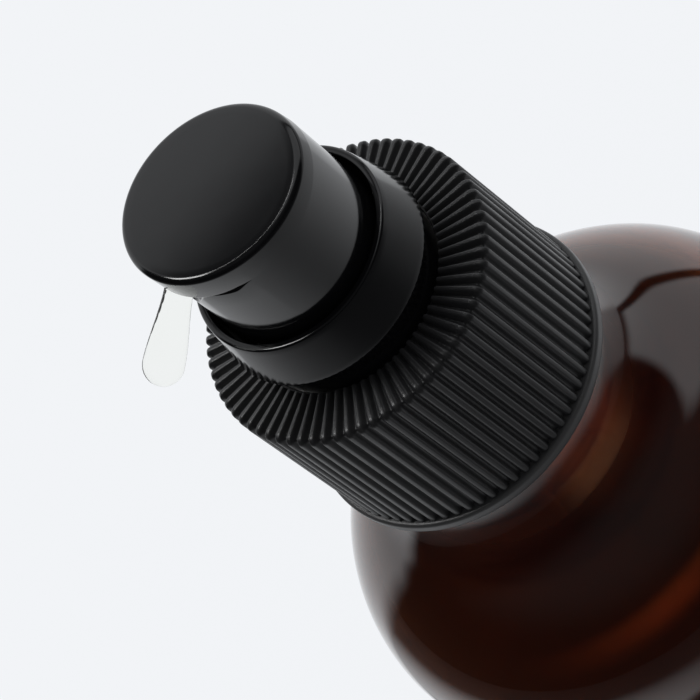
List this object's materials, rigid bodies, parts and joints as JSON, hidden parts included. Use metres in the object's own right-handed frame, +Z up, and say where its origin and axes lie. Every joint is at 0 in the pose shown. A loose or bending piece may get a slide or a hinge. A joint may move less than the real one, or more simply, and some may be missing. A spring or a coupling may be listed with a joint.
{
  "type": "pump oil bottle",
  "caption": "Round amber glass oil bottle with a ribbed screw closure and a pump whose slanted head presses down, turns and gives oil from a side nozzle.",
  "frame": {"origin": "centre of the base, on the surface that the bottle stands on", "axes": "+Z up the bottle's axis, -X towards the nozzle at rest"},
  "size_m": [0.049, 0.049, 0.1366],
  "materials": {
    "amber_glass": "gloss, dark amber",
    "gloss_black": "moulded, high gloss",
    "satin_black": "moulded, satin",
    "natural_plastic": "natural polypropylene",
    "soft_seal": "soft natural seal",
    "spring_steel": "drawn stainless wire",
    "ball_steel": "polished stainless",
    "clear_oil": "clear pale oil"
  },
  "bodies": {
    "bottle": {"bottle": "amber_glass"},
    "pump": {"pump_housing": "natural_plastic", "housing_retainer": "natural_plastic", "neck_gasket": "soft_seal", "collar": "gloss_black", "ball_cage": "natural_plastic", "dip_tube": "natural_plastic", "return_spring": "spring_steel"},
    "closure": {"closure": "satin_black"},
    "plunger": {"stem": "natural_plastic", "valve_post": "natural_plastic"},
    "head": {"actuator_shell": "gloss_black", "actuator_core": "satin_black", "nozzle_insert": "natural_plastic", "oil_drop": "clear_oil"},
    "piston": {"piston": "soft_seal"},
    "ball": {"inlet_ball": "ball_steel"}
  },
  "joints": [
    {"name": "pump_lift", "type": "slide", "parent": "bottle", "child": "pump", "axis": [0, 0, 1], "range_m": [0, 0.0048]},
    {"name": "closure_turn", "type": "hinge", "parent": "pump", "child": "closure", "pos_m": [0, 0, 0.108], "axis": [0, 0, 1], "range_deg": [0, 540]},
    {"name": "pump_press", "type": "slide", "parent": "pump", "child": "plunger", "axis": [0, 0, -1], "range_m": [0, 0.0045], "stiffness_N_per_m": 1500, "springref_m": -0.002, "deforming": ["return_spring"]},
    {"name": "head_turn", "type": "hinge", "parent": "plunger", "child": "head", "pos_m": [0, 0, 0.124], "axis": [0, 0, 1], "continuous": true},
    {"name": "piston_slip", "type": "slide", "parent": "plunger", "child": "piston", "axis": [0, 0, 1], "range_m": [0, 0.0008]},
    {"name": "ball_lift", "type": "slide", "parent": "pump", "child": "ball", "axis": [0, 0, 1], "range_m": [0, 0.0012]}
  ],
  "couplings": [
    {"joint": "pump_lift", "follows": "closure_turn", "m_per_rad": 0.00050532}
  ]
}
